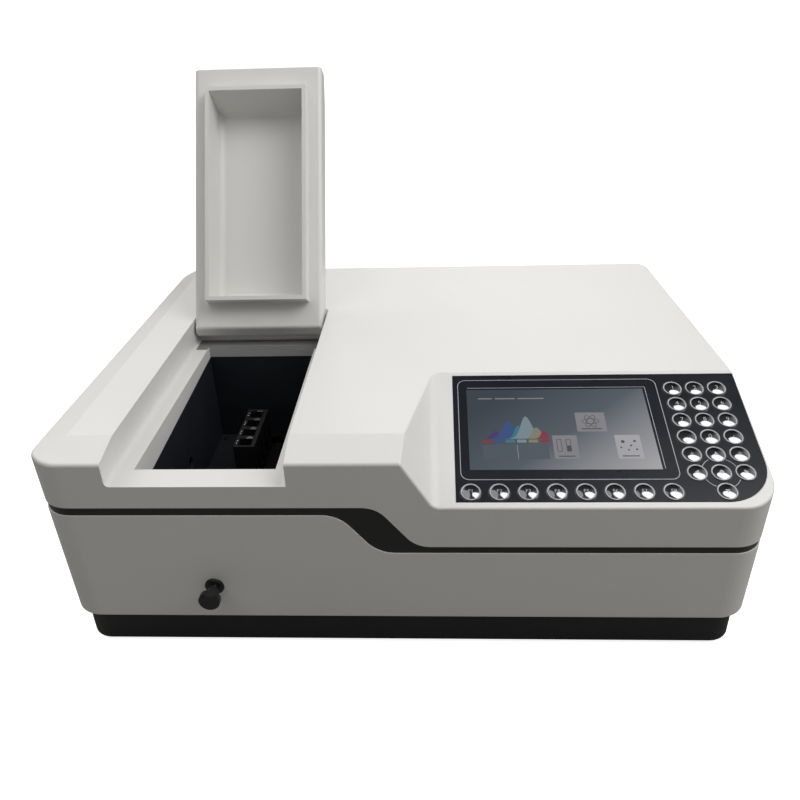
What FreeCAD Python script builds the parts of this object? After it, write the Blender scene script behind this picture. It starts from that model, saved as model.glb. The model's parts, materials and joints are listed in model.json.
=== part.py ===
"""Bench spectrophotometer, in millimetres: +Z up, X centred, origin on the bench under the box's centre.

The case stands on a base tray. A lid over the sample well is hinged at the back and stands open, a
four-cell cuvette holder slides on two rails with a pull rod, and a sloped console carries the
display and twenty-seven keys.
"""
import FreeCAD, Part
import math
import operator
import os

import Sketcher
from FreeCAD import Placement, Rotation, Vector

DOC = FreeCAD.newDocument("Spectrophotometer")

DRIVING_SIZES = (
    # Case
    ("case_half_width", 290), ("front_face", -210), ("back_face", 230), ("top_level", 192.8),
    ("seat_level", 33), ("foot_height", 3), ("back_narrowing", 6), ("side_draft", 1.25),
    ("corner_radius", 28), ("wall", 3), ("slope_drop", 7), ("front_slope", 32), ("left_slope", 26),
    ("back_slope", 12), ("edge_radius", 3), ("seat_radius", 1),
    # Parting lines of the cover, the trim and the housing
    ("cover_edge_left", 145.6), ("cover_edge_right", 107.4), ("cover_bend_left", -19.2),
    ("cover_bend_right", 11.4), ("cover_bend_radius", 23), ("housing_edge_left", 138),
    ("housing_edge_right", 100.7), ("housing_bend_left", -49), ("housing_bend_right", -18.8),
    ("housing_bend_radius", 28), ("trim_inset", 1),
    # Lid channel and sample well
    ("channel_left", -226.8), ("channel_right", -86.6), ("ledge_level", 165.6), ("well_left", -212.6),
    ("well_right", -98.7), ("well_front", -185.9), ("well_back", 45.5), ("skirt_depth", 11),
    ("channel_radius", 4), ("tub_floor", 54.3), ("beam_level", 91.3), ("beam_y", -64),
    # Lid
    ("hinge_y", 62.65), ("hinge_level", 181.75), ("open_lean", 30), ("lid_left", -224.8),
    ("lid_right", -89.6), ("lid_front", -209.6), ("lid_seat", 166.1), ("lid_round", 11),
    ("lid_edge_radius", 4.5), ("lid_end_radius", 1.2), ("rim_left", -209.5), ("rim_right", -104.1),
    ("rim_front", -184.6), ("rim_back", 38.5), ("rim_depth", 14), ("rim_width", 4),
    ("pocket_depth", 36), ("pin_radius", 3),
    # Console
    ("console_left", 25.5), ("console_level", 145), ("console_tilt", 19.35), ("console_rise", 57),
    ("console_radius", 10), ("console_wall", 4), ("film_left", 42.7), ("film_right", 286.3),
    ("film_front", 5.7), ("film_back", 140), ("film_depth", 1), ("film_corner", 38),
    ("screen_left", 54.1), ("screen_right", 206.2), ("screen_front", 36.4), ("screen_back", 123.7),
    # Keys
    ("key_radius", 7.3), ("key_gap", 0.3), ("key_proud", 0.7), ("row_left", 54.2), ("row_pitch", 22.17),
    ("row_up", 14.8), ("pad_left", 231.2), ("pad_pitch_x", 18.63), ("pad_back", 122.3),
    ("pad_pitch_y", 17.9),
    # Sample carriage
    ("rod_x", -155.7), ("rod_level", 66.3), ("rod_radius", 3), ("knob_front", -230),
    ("knob_radius", 8.7), ("bush_radius", 8), ("cell_pitch", 17.8), ("cell_size", 12.6),
    ("holder_half_width", 10.25), ("holder_top", 115.3), ("holder_front", -73),
    ("rail_half_gap", 13), ("rail_level", 65.3), ("rail_radius", 3),
    # Rear plate
    ("rear_middle", 160), ("rear_level", 67), ("rear_half_width", 93), ("rear_half_height", 30),
    # Base tray and its feet
    ("base_side_inset", 9.4), ("base_front_inset", 3), ("base_floor", 6), ("foot_radius", 13),
    ("foot_x", 245), ("foot_front", -178), ("foot_back", 190), ("vent_pitch", 24), ("vent_width", 10),
    # Optical bench and what stands on it
    ("bench_left", -90), ("bench_right", 125), ("bench_front", -110), ("bench_back", 195),
    ("bench_low", 44), ("bench_top", 52), ("post_width", 10), ("chamber_right", 40),
    ("chamber_front", -100), ("chamber_back", 190), ("chamber_top", 135), ("sheet_wall", 3),
    ("slit_y", 150), ("lamp_left", 50), ("lamp_right", 122), ("lamp_front", 80), ("lamp_top", 132),
    # Boards and supply on the base tray
    ("board_left", 130), ("board_right", 246), ("board_front", -178), ("board_back", 40),
    ("board_level", 12), ("supply_right", 240), ("supply_front", 70), ("supply_top", 50),
)
OPERATIONS = {"+": operator.add, "-": operator.sub, "*": operator.mul, "/": operator.truediv}
ACROSS, ALONG, UP = Vector(1, 0, 0), Vector(0, 1, 0), Vector(0, 0, 1)


class Size:
    """A number that keeps the spreadsheet formula it comes from."""

    def __init__(self, value, formula=None):
        self.value = float(value)
        self.formula = formula or f"({self.value})"

    def __add__(self, other):
        return joined(self, "+", other)

    def __radd__(self, other):
        return joined(other, "+", self)

    def __sub__(self, other):
        return joined(self, "-", other)

    def __rsub__(self, other):
        return joined(other, "-", self)

    def __mul__(self, other):
        return joined(self, "*", other)

    def __rmul__(self, other):
        return joined(other, "*", self)

    def __truediv__(self, other):
        return joined(self, "/", other)

    def __rtruediv__(self, other):
        return joined(other, "/", self)


def as_size(number):
    return number if isinstance(number, Size) else Size(number)


def joined(left, sign, right):
    left, right = as_size(left), as_size(right)
    value = OPERATIONS[sign](left.value, right.value)
    return Size(value, f"({left.formula} {sign} {right.formula})")


def tangent(angle):
    return Size(math.tan(math.radians(angle.value)), f"tan({angle.formula} * 1deg)")


def cosine(angle):
    return Size(math.cos(math.radians(angle.value)), f"cos({angle.formula} * 1deg)")


def make_sheet():
    """The driving dimensions as named cells; returns them by name."""
    sheet = DOC.addObject("Spreadsheet::Sheet", "Sizes")
    named = {}
    for row, (alias, value) in enumerate(DRIVING_SIZES, start=1):
        sheet.set(f"A{row}", alias)
        sheet.set(f"B{row}", str(value))
        sheet.setAlias(f"B{row}", alias)
        named[alias] = Size(value, f"Sizes.{alias}")
    DOC.recompute()
    return named


SIZES = make_sheet()
NODES = []


def size(alias):
    return SIZES[alias]


def bind(item, prop, number):
    item.setExpression(prop, as_size(number).formula)


def place(item, x=0, y=0, z=0, axis=None, angle=0):
    if axis is not None:
        item.Placement = Placement(Vector(), Rotation(axis, as_size(angle).value))
        item.setExpression("Placement.Rotation.Angle", f"{as_size(angle).formula} * 1deg")
    for letter, number in zip("xyz", (x, y, z)):
        bind(item, f"Placement.Base.{letter}", number)
    return item


def node(name, item):
    """Gives a finished sub-part its name."""
    item.Label = name
    NODES.append(item)
    return item


# Solids made from primitives and booleans

def box(low, high):
    item = DOC.addObject("Part::Box", "Block")
    for prop, start, end in zip(("Length", "Width", "Height"), low, high):
        bind(item, prop, as_size(end) - start)
    return place(item, *low)


def rod(radius, length, base, axis=UP):
    """A cylinder from base along a row axis; axis may also be a reversed one."""
    item = DOC.addObject("Part::Cylinder", "Rod")
    bind(item, "Radius", radius)
    bind(item, "Height", length)
    item.Placement = Placement(Vector(), Rotation(UP, axis))
    for letter, number in zip("xyz", base):
        bind(item, f"Placement.Base.{letter}", number)
    return item


def cut(base, *tools):
    item = base
    for tool in tools:
        result = DOC.addObject("Part::Cut", "Cut")
        result.Base, result.Tool = item, tool
        item = result
    return item


def fuse(*items):
    result = DOC.addObject("Part::MultiFuse", "Fusion")
    result.Shapes = list(items)
    return result


def common(base, tool):
    result = DOC.addObject("Part::Common", "Common")
    result.Base, result.Tool = base, tool
    return result


def group(items):
    """Identical or paired pieces that share one name as separate solids."""
    result = DOC.addObject("Part::Compound", "Group")
    result.Links = list(items)
    return result


# Part design bodies

def new_body(name):
    return DOC.addObject("PartDesign::Body", name)


def outline(body, plane, points, offset=0):
    """A closed sketch through points on one of the body's planes, each corner bound to its formula."""
    sketch = body.newObject("Sketcher::SketchObject", "Outline")
    origin_plane = next(item for item in body.Origin.OriginFeatures if item.Role == f"{plane}_Plane")
    sketch.AttachmentSupport = [(origin_plane, "")]
    sketch.MapMode = "FlatFace"
    bind(sketch, "AttachmentOffset.Base.z", offset)
    sizes = [(as_size(first), as_size(second)) for first, second in points]
    corners = [Vector(first.value, second.value, 0) for first, second in sizes]
    sketch.addGeometry([Part.LineSegment(*ends) for ends in zip(corners, corners[1:] + corners[:1])], False)
    for index in range(len(corners)):
        following = (index + 1) % len(corners)
        sketch.addConstraint(Sketcher.Constraint("Coincident", index, 2, following, 1))
    for index, pair in enumerate(sizes):
        for kind, axis_line, number in zip(("DistanceX", "DistanceY"), (-2, -1), pair):
            if number.value == 0:
                sketch.addConstraint(Sketcher.Constraint("PointOnObject", index, 1, axis_line))
                continue
            rule = Sketcher.Constraint(kind, -1, 1, index, 1, number.value)
            place_in_list = sketch.addConstraint(rule)
            sketch.setExpression(f"Constraints[{place_in_list}]", number.formula)
    return sketch


def rectangle(low, high):
    return [(low[0], low[1]), (high[0], low[1]), (high[0], high[1]), (low[0], high[1])]


def pad(body, sketch, length, side="One side", backwards=False):
    feature = body.newObject("PartDesign::Pad", "Pad")
    feature.Profile = sketch
    feature.SideType = side
    feature.Reversed = backwards
    bind(feature, "Length", length)
    return feature


def pocket_through(body, sketch):
    """A cut both ways right through the body; it stops the build if nothing was removed."""
    DOC.recompute()
    before = body.Shape.Volume
    feature = body.newObject("PartDesign::Pocket", "Pocket")
    feature.Profile = sketch
    feature.Type = "ThroughAll"
    feature.SideType = "Symmetric"
    DOC.recompute()
    if body.Shape.Volume >= before:
        raise RuntimeError(f"{body.Name}: a pocket removed nothing")
    return feature


def revolve(body, sketch, axis):
    feature = body.newObject("PartDesign::Revolution", "Revolution")
    feature.Profile = sketch
    feature.ReferenceAxis = (sketch, [axis])
    feature.Angle = 360
    return feature


def edges_where(shape, wanted):
    """Names of the edges that wanted(edge, middle point) accepts."""
    names = []
    for number, edge in enumerate(shape.Edges, start=1):
        middle = edge.valueAt((edge.FirstParameter + edge.LastParameter) / 2)
        if wanted(edge, middle):
            names.append(f"Edge{number}")
    return names


def round_edges(body, radius, wanted):
    DOC.recompute()
    base = body.Tip
    names = edges_where(base.Shape, wanted)
    if not names:
        raise RuntimeError(f"{body.Name}: no edge to round")
    feature = body.newObject("PartDesign::Fillet", "Fillet")
    feature.Base = (base, names)
    bind(feature, "Radius", radius)
    return feature


def rounded(base, *rules):
    """Rounds edges of several radii at once; each rule is a radius and a test for its edges."""
    DOC.recompute()
    result = DOC.addObject("Part::Fillet", "Rounded")
    result.Base = base
    edges = []
    for radius, wanted in rules:
        names = edges_where(base.Shape, wanted)
        edges += [(int(name[len("Edge"):]), radius.value, radius.value) for name in names]
    result.Edges = edges
    return result


def runs_along(edge, axis):
    span = edge.valueAt(edge.LastParameter) - edge.valueAt(edge.FirstParameter)
    return span.Length > 0.3 and abs(span.normalize().dot(axis)) > 0.95


def near(value, target, reach=0.6):
    return abs(value - target) < reach


# Case shells

def plan_corners(side_inset, inset):
    """The case's outline seen from above, moved in by inset, or by side_inset at the two sides."""
    front = size("case_half_width") - side_inset
    back = front - size("back_narrowing")
    front_y = size("front_face") + inset
    back_y = size("back_face") - inset
    return [(0 - front, front_y), (front, front_y), (back, back_y), (0 - back, back_y)]


def case_form(name, inset, softened=False):
    """The closed shape of the whole case, moved in by inset, with its sloped top edges."""
    body = new_body(name)
    top = size("top_level") - inset
    block = pad(body, outline(body, "XY", plan_corners(inset, inset), top), top - size("seat_level"),
                backwards=True)
    DOC.recompute()
    draft_sides(body, block)
    drop = top - size("slope_drop")
    front = size("front_face") + inset
    back = size("back_face") - inset
    left = 0 - size("case_half_width") + inset
    # Each slope's cutter runs on past the case along the same line.
    for plane, edge, run in (("YZ", front, size("front_slope")), ("YZ", back, 0 - size("back_slope")),
                             ("XZ", left, size("left_slope"))):
        slope = [(edge - run, drop - size("slope_drop")), (edge + run, top),
                 (edge + run * 2, top + size("slope_drop")), (edge - run, top + size("slope_drop"))]
        pocket_through(body, outline(body, plane, slope))
    upright = (size("corner_radius") - inset, lambda edge, middle: runs_along(edge, UP))
    return soften_case(body, upright) if softened else rounded(body, upright)


def draft_sides(body, block):
    """Leans the two side walls in towards the bench."""
    faces = {}
    for number, face in enumerate(block.Shape.Faces, start=1):
        normal = face.normalAt(0, 0)
        if abs(normal.x) > 0.9:
            faces.setdefault("sides", []).append(f"Face{number}")
        if normal.z > 0.9:
            faces["top"] = f"Face{number}"
    draft = body.newObject("PartDesign::Draft", "SideDraft")
    draft.Base = (block, faces["sides"])
    draft.NeutralPlane = (block, [faces["top"]])
    draft.Reversed = True
    bind(draft, "Angle", size("side_draft"))
    DOC.recompute()
    if draft.Shape.Volume >= block.Shape.Volume:
        raise RuntimeError(f"{body.Name}: the sides lean outwards")


def soften_case(body, upright):
    """Rounds the upright corners and the underside together, and then the edges round the top."""
    seat, edge_level = size("seat_level").value, (size("top_level") - size("slope_drop")).value
    front, back = size("front_face").value, size("back_face").value
    underside = (size("seat_radius"), lambda edge, middle: near(middle.z, seat, 0.3))
    block = rounded(body, upright, underside)

    def on_top_outline(edge, middle):
        if runs_along(edge, UP) or middle.z < edge_level - 1:
            return False
        travelled = (middle.y - front) / (back - front)
        side = size("case_half_width").value - size("back_narrowing").value * travelled
        at_end = near(middle.y, front) or near(middle.y, back)
        return at_end or abs(middle.x) > side - 1.2 or edge.Curve.TypeId != "Part::GeomLine"

    return rounded(block, (size("edge_radius"), on_top_outline))


def parting_zone(name, left_level, right_level, left_bend, right_bend, radius):
    """Everything above a parting line that steps down from left to right in a soft S."""
    body = new_body(name)
    reach, sky = 330, 260
    points = [(-reach, left_level), (left_bend, left_level), (right_bend, right_level),
              (reach, right_level), (reach, sky), (-reach, sky)]
    pad(body, outline(body, "XZ", points), 2 * reach, "Symmetric")
    bends = (left_bend.value, right_bend.value)
    round_edges(body, radius, lambda edge, middle: runs_along(edge, ALONG) and (
        near(middle.x, bends[0]) or near(middle.x, bends[1])))
    return body


def channel_form(name, grown):
    """The lid's channel: open at the front, with a back wall that leans as far as the open lid."""
    body = new_body(name)
    floor = size("ledge_level") - grown
    lean = tangent(size("open_lean"))
    back_gap = (size("lid_round") + 0.5 + grown) / cosine(size("open_lean"))
    foot = size("hinge_y") + back_gap - (size("hinge_level") - floor) * lean
    head = foot + (220 - floor) * lean
    front = size("front_face") - 20
    left, right = size("channel_left") - grown, size("channel_right") + grown
    profile = [(front, floor), (foot, floor), (head, 220), (front, 220)]
    pad(body, outline(body, "YZ", profile, left), right - left)
    if as_size(grown).value == 0:
        round_edges(body, size("channel_radius"), lambda edge, middle: runs_along(edge, ALONG)
                    and near(middle.z, floor.value) and near(middle.x, left.value))
    return body


def on_panel(item, x=0, up=0, out=0):
    """Turns a piece drawn flat onto the console: x across, up the slope, and out of the panel."""
    tilt = size("console_tilt")
    sine = tangent(tilt) * cosine(tilt)
    y = size("front_face") + cosine(tilt) * up - sine * out
    z = size("console_level") + sine * up + cosine(tilt) * out
    return place(item, x, y, z, ACROSS, tilt)


def console_form(name, depth, grown):
    """What is cut away above the console: a flat panel and a steep wall on its left."""
    body = new_body(name)
    rise = tangent(size("console_rise"))
    tall = 190
    left = size("console_left") - depth / rise - grown
    profile = [(left, 0 - as_size(depth)), (360, 0 - as_size(depth)), (360, tall),
               (left - (tall + as_size(depth)) / rise, tall)]
    pad(body, outline(body, "XZ", profile, 60), 520, backwards=True)
    if as_size(depth).value == 0:
        round_edges(body, size("console_radius"), lambda edge, middle: near(middle.z, 0)
                    and near(middle.x, left.value))
    return on_panel(body)


def flat_plate(name, points, low, high):
    """A plate drawn flat for the console, between two levels above or below its surface."""
    body = new_body(name)
    pad(body, outline(body, "XY", points, low), as_size(high) - low)
    return body


def film_plate(name, grown, low, high):
    """The keypad film's outline, with its one large round corner."""
    body = flat_plate(name, rectangle((size("film_left") - grown, size("film_front") - grown),
                                      (size("film_right") + grown, size("film_back") + grown)), low, high)
    right, front = size("film_right").value, size("film_front").value
    round_edges(body, size("film_corner"), lambda edge, middle: runs_along(edge, UP)
                and near(middle.x, right, 2) and near(middle.y, front, 2))
    return body


def key_places():
    """Where each key's middle lies on the console, in reading order from the front left."""
    places = [(size("row_left") + size("row_pitch") * column, size("row_up")) for column in range(8)]
    for row in range(6):
        for column in range(3):
            places.append((size("pad_left") + size("pad_pitch_x") * column,
                           size("pad_back") - size("pad_pitch_y") * row))
    places.append((size("pad_left") + size("pad_pitch_x"), size("pad_back") - size("pad_pitch_y") * 6))
    return places


def key_holes(low, high):
    return [rod(size("key_radius") + size("key_gap"), high - low, (x, up, low)) for x, up in key_places()]


def screen_plate(grown, low, high):
    corners = rectangle((size("screen_left") - grown, size("screen_front") - grown),
                        (size("screen_right") + grown, size("screen_back") + grown))
    return flat_plate("Screen", corners, low, high)


def make_upper_cover(outer, inner, zone):
    block = round_console(cut(common(outer, zone), console_form("ConsoleSpace", 0, 0)))
    block = cut(block, channel_form("ChannelSpace", 0))
    skirt_foot = size("ledge_level") - size("skirt_depth")
    wall = size("wall")
    skirt = box((size("well_left") - wall, size("well_front") - wall, skirt_foot),
                (size("well_right") + wall, size("well_back") + wall, size("ledge_level")))
    cavity = cut(inner, console_form("ConsoleFloor", size("console_wall"), 4),
                 channel_form("ChannelWalls", wall), skirt)
    well = box((size("well_left"), size("well_front"), skirt_foot - 5),
               (size("well_right"), size("well_back"), size("ledge_level") + 5))
    panel_cuts = fuse(film_plate("FilmRecess", 0.3, 0 - size("film_depth"), 3), *key_holes(-9, 2),
                      screen_plate(0.4, -9, 2))
    bores = rod(size("pin_radius"), 170, (size("channel_left") - 15, size("hinge_y"),
                                          size("hinge_level")), ACROSS)
    node("upper_cover", cut(block, cavity, well, on_panel(panel_cuts), bores))


def round_console(block):
    """Rounds the top of the console's steep wall, and the panel's front and right edges."""
    tilt = math.radians(size("console_tilt").value)
    front, level = size("front_face").value, size("console_level").value

    def panel_height(point):
        return level + (point.y - front) * math.tan(tilt)

    def on_panel_border(edge, middle):
        return near(middle.z, panel_height(middle), 0.2) and middle.x > 45 and (
            middle.x > 255 or near(middle.y, front, 0.3))

    return rounded(block, (size("edge_radius") * 0.7, on_panel_border))


def make_lower_housing(outer, inner, zone):
    wall = size("wall")
    floor = size("seat_level") + wall
    cavity = cut(inner, box((-300, -230, 0), (300, 250, floor)))
    lip = 40
    floor_opening = box((lip - size("case_half_width"), size("front_face") + lip - 10, 20),
                        (size("case_half_width") - lip, size("back_face") - lip + 5, 60))
    window_half, window_rise = size("rear_half_width") - 6, size("rear_half_height") - 5
    rear_window = box((size("rear_middle") - window_half, 200, size("rear_level") - window_rise),
                      (size("rear_middle") + window_half, 250, size("rear_level") + window_rise))
    rod_hole = rod(size("bush_radius") - 1.1, 20, (size("rod_x"), size("front_face") - 5,
                                                  size("rod_level")), ALONG)
    node("lower_housing", cut(outer, zone, cavity, floor_opening, rear_window, rod_hole))


def make_trim_strip(cover_zone, housing_zone):
    outer = case_form("TrimOutside", size("trim_inset"))
    inner = case_form("TrimInside", size("trim_inset") + size("wall"))
    node("trim_strip", cut(common(outer, housing_zone), cover_zone, inner))


def make_base_plinth():
    """The black tray under the case, with vent slots in its floor."""
    body = new_body("BaseTray")
    inset, front_inset = size("base_side_inset"), size("base_front_inset")
    lean = (size("top_level") - size("seat_level")) * tangent(size("side_draft"))
    height = size("seat_level") - size("foot_height")
    points = plan_corners(inset + lean, front_inset)
    pad(body, outline(body, "XY", points, size("foot_height")), height)
    round_edges(body, size("corner_radius") - 8, lambda edge, middle: runs_along(edge, UP))
    round_edges(body, 2.5, lambda edge, middle: near(middle.z, size("foot_height").value, 0.1))
    side, end = size("case_half_width") - 22, size("back_face") - 16
    inside = box((0 - side, size("front_face") + 8, size("base_floor")), (side, end, 60))
    slots = []
    for index in range(7):
        start = size("vent_pitch") * index - 200
        slots.append(box((start, -150, 0), (start + size("vent_width"), -60, 20)))
    node("base_plinth", cut(body, inside, *slots))


def make_feet():
    feet = []
    for x in (0 - size("foot_x"), size("foot_x")):
        for y in (size("foot_front"), size("foot_back")):
            foot = new_body("Foot")
            radius, height = size("foot_radius"), size("foot_height")
            profile = [(0, 0), (radius - 1.2, 0), (radius, height), (0, height)]
            revolve(foot, outline(foot, "XZ", profile), "V_Axis")
            feet.append(place(foot, x, y, 0))
    node("rubber_feet", group(feet))


# Sample compartment

def make_tub():
    """The black well: a box hung from the cover's skirt, with a light hole in each side wall."""
    wall = 2.5
    top = size("ledge_level") - size("skirt_depth")
    low = (size("well_left"), size("well_front"), size("tub_floor") + 3)
    high = (size("well_right"), size("well_back"), top + 5)
    inside = box(low, high)
    outside = box((low[0] - wall, low[1] - wall, size("tub_floor")), (high[0] + wall, high[1] + wall, top))
    beam = rod(6, 140, (size("well_left") - 10, size("beam_y"), size("beam_level")), ACROSS)
    rod_slot = rod(size("rod_radius") + 0.5, 20, (size("rod_x"), size("well_front") - 10, size("rod_level")),
                   ALONG)
    node("compartment_tub", cut(outside, inside, beam, rod_slot))


def make_rails():
    """Two steel rails between end blocks on the tub's floor."""
    front, back = -182, 20
    pieces = [rod(size("rail_radius"), back - front, (size("rod_x") + side * size("rail_half_gap"), front,
                                                     size("rail_level")), ALONG) for side in (-1, 1)]
    floor = size("tub_floor") + 3
    for start in (front, back - 6):
        top = size("rail_level") + 7
        pieces.append(cut(box((size("rod_x") - 20, start, floor), (size("rod_x") + 20, start + 6, top)),
                          rod(size("rod_radius") + 0.5, 20, (size("rod_x"), start - 7, size("rod_level")),
                              ALONG)))
    node("carriage_rails", fuse(*pieces))


def make_cuvette_holder():
    """Four square cells in a row on a carriage block that runs on the two rails."""
    middle, half = size("rod_x"), size("holder_half_width")
    front = size("holder_front")
    back = front + size("cell_pitch") * 4 + 1.8
    base_low, base_top = size("rail_level") - 6, size("rail_level") + 8
    carriage = box((middle - 20, front, base_low), (middle + 20, back, base_top))
    tower = box((middle - half, front, base_top), (middle + half, back, size("holder_top")))
    tools = [rod(size("rail_radius") + 0.06, 100, (middle + side * size("rail_half_gap"), front - 5,
                                                  size("rail_level")), ALONG) for side in (-1, 1)]
    cell = size("cell_size") / 2
    above = size("holder_top") + 10
    window_top = size("holder_top") - 10
    for index in range(4):
        y = size("beam_y") + size("cell_pitch") * index
        tools.append(box((middle - cell, y - cell, base_top + 2), (middle + cell, y + cell, above)))
        tools.append(box((middle - 30, y - 3.5, base_top + 6), (middle + 30, y + 3.5, window_top)))
    node("cuvette_holder", cut(fuse(carriage, tower), *tools))


def make_cell_springs():
    """A bent leaf that presses each cuvette into its corner, clipped over the cell's back wall."""
    springs = []
    for index in range(4):
        back = size("beam_y") + size("cell_pitch") * index + size("cell_size") / 2
        top = size("holder_top")
        leaf = new_body("CellSpring")
        low = top - 20
        profile = [(back - 0.5, low), (back - 0.1, low), (back - 0.1, top), (back + 3, top),
                   (back + 3, top + 0.4), (back - 0.5, top + 0.4)]
        pad(leaf, outline(leaf, "YZ", profile), 6, "Symmetric")
        springs.append(place(leaf, size("rod_x")))
    node("cell_springs", group(springs))


def make_pull():
    """The pull rod into the carriage, its knob, and the bush in the case's front wall."""
    middle, level, radius = size("rod_x"), size("rod_level"), size("rod_radius")
    start = size("knob_front") + 6
    node("pull_rod", rod(radius, size("holder_front") - start, (middle, start, level), ALONG))
    knob = new_body("Knob")
    wide, neck = size("knob_radius"), 4.5
    profile = [(0, 0), (wide - 1.5, 0), (wide, 1.5), (wide, 6), (wide - 1.5, 7.5), (neck, 9), (neck, 15),
               (radius, 15), (radius, 6), (0, 6)]
    revolve(knob, outline(knob, "XY", profile), "V_Axis")
    node("pull_knob", place(knob, middle, size("knob_front"), level))
    bush = new_body("Bush")
    bore = radius + 0.05
    rim = size("bush_radius")
    profile = [(bore, -2), (rim - 1, -2), (rim, -1), (rim, 0), (rim - 1.2, 0), (rim - 1.2, 9), (bore, 9)]
    revolve(bush, outline(bush, "XY", profile), "V_Axis")
    node("rod_bush", place(bush, middle, size("front_face"), level))


# Lid

def make_lid():
    """The lid, drawn shut and then turned back on its hinge until it leans on the channel's wall."""
    hinge_y, hinge_z = size("hinge_y"), size("hinge_level")
    lean, radius = size("open_lean"), size("lid_round")
    top, seat = size("top_level") - hinge_z, size("lid_seat") - hinge_z
    front = size("lid_front") - hinge_y
    setback = size("lid_front") - size("front_face")
    drop = size("slope_drop") - size("slope_drop") * setback / size("front_slope")
    slope_end = size("front_slope") - setback
    slant = tangent(lean)
    # The back face lies parallel to the channel's wall and runs into the round about the hinge.
    foot = radius / cosine(lean) + seat * slant
    touch_y = radius * cosine(lean)
    touch_z = 0 - radius * cosine(lean) * slant
    body = new_body("LidBlock")
    width = size("lid_right") - size("lid_left")
    profile = [(front, seat), (foot, seat), (touch_y, touch_z), (touch_y, top), (front + slope_end, top),
               (front, top - drop)]
    pad(body, outline(body, "YZ", profile, size("lid_left")), width)
    round_edges(body, radius * 0.97, lambda edge, middle: runs_along(edge, ACROSS)
                and near(middle.y, touch_y.value) and near(middle.z, top.value))

    def at_seat(edge, middle):
        return near(middle.z, seat.value, 0.1) and middle.y > front.value + 1

    def at_free_end(edge, middle):
        return near(middle.y, front.value, 0.1)

    shell = rounded(body, (size("lid_edge_radius"), at_seat), (size("lid_end_radius"), at_free_end))
    rim_low = seat - size("rim_depth")
    rim = lid_rim(rim_low, seat + 4)
    pocket = lid_pocket(rim_low - 0.5, rim_low + size("pocket_depth"))
    bore, depth = size("pin_radius") + 0.06, 13
    bores = [rod(bore, depth, (start, 0, 0), ACROSS) for start in (size("lid_left") - 0.01,
                                                                  size("lid_right") - depth + 0.01)]
    lid = cut(fuse(shell, rim), pocket, *bores)
    node("lid", place(lid, 0, hinge_y, hinge_z, ACROSS, 0 - lean - 90))


def tapered_block(low_plan, high_plan, low, high):
    """A block with flat sides between two upright levels; each plan is left, right, front and back."""
    block = DOC.addObject("Part::Wedge", "Taper")
    for prop, number in zip(("Xmin", "Xmax", "Zmin", "Zmax"), wedge_sides(low_plan)):
        bind(block, prop, number)
    for prop, number in zip(("X2min", "X2max", "Z2min", "Z2max"), wedge_sides(high_plan)):
        bind(block, prop, number)
    bind(block, "Ymin", low)
    bind(block, "Ymax", high)
    block.Placement = Placement(Vector(), Rotation(ACROSS, 90))
    return block


def wedge_sides(plan):
    left, right, front, back = plan
    return left, right, 0 - back, 0 - front


def lid_rim(low, high):
    """The frame that hangs into the well, a little wider where it meets the lid."""
    left, right = size("rim_left"), size("rim_right")
    front, back = size("rim_front") - size("hinge_y"), size("rim_back") - size("hinge_y")
    foot = (left - 1.2, right + 1.2, front - 1.2, back + 1.2)
    return tapered_block((left, right, front, back), foot, low, high)


def lid_pocket(low, high):
    """The hollow inside the rim, with a slanted wall at the lid's free end and soft corners."""
    inset, slant, draft = size("rim_width"), 12, 2
    left, right = size("rim_left") + inset, size("rim_right") - inset
    front = size("rim_front") - size("hinge_y") + inset
    back = size("rim_back") - size("hinge_y") - inset
    block = tapered_block((left, right, front, back),
                          (left + draft, right - draft, front + slant, back - draft), low, high)
    return rounded(block, (as_size(7), lambda edge, middle: near(middle.z, high.value, 0.1)))


def make_hinge_pins():
    """Two stub pins in the channel's side walls, each with a head behind the wall."""
    pins = []
    wall = size("wall")
    for edge, way in ((size("channel_left"), 1), (size("channel_right"), -1)):
        pin = new_body("HingePin")
        radius = size("pin_radius")
        profile = [(0, 0 - wall - 2), (5.5, 0 - wall - 2), (5.5, 0 - wall), (radius, 0 - wall),
                   (radius, 13), (0, 13)]
        revolve(pin, outline(pin, "XY", profile), "V_Axis")
        pins.append(place(pin, edge, size("hinge_y"), size("hinge_level"), UP, -90 * way))
    node("hinge_pins", group(pins))


# Console

def make_console():
    film = cut(film_plate("Film", 0, 0 - size("film_depth"), 0), *key_holes(-5, 5), screen_plate(0, -5, 5))
    node("keypad_overlay", on_panel(film))
    node("lcd_glass", on_panel(screen_plate(-0.3, -1.4, -0.2)))
    module = fuse(box((47, 29, -11), (214, 131.5, -4)), screen_plate(-0.3, -4, -1.4))
    node("lcd_module", on_panel(module))
    corners = [(45, 7), (250, 7), (280, 37), (280, 134), (217, 134), (217, 27), (45, 27)]
    board = flat_plate("KeyBoard", corners, -9.6, -8)
    switches = [box((x - 3, up - 3, -8), (x + 3, up + 3, -6.9)) for x, up in key_places()]
    node("control_board", on_panel(fuse(board, *switches)))


def make_keys():
    """Domed push keys: each is held by a flange under the cover and pushes a switch with its stem."""
    for number, (x, up) in enumerate(key_places(), start=1):
        key = new_body("Key")
        radius, proud = size("key_radius"), size("key_proud")
        under = 0 - size("console_wall") - 0.15
        profile = [(0, -6.2), (2, -6.2), (2, under - 0.8), (radius + 1.1, under - 0.8),
                   (radius + 1.1, under), (radius, under), (radius, proud), (radius * 0.86, proud + 0.5),
                   (radius * 0.5, proud + 0.85), (0, proud + 1)]
        revolve(key, outline(key, "XZ", profile), "V_Axis")
        node(f"key_{number:02d}", on_panel(key, x, up))


# Inside the case

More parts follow.
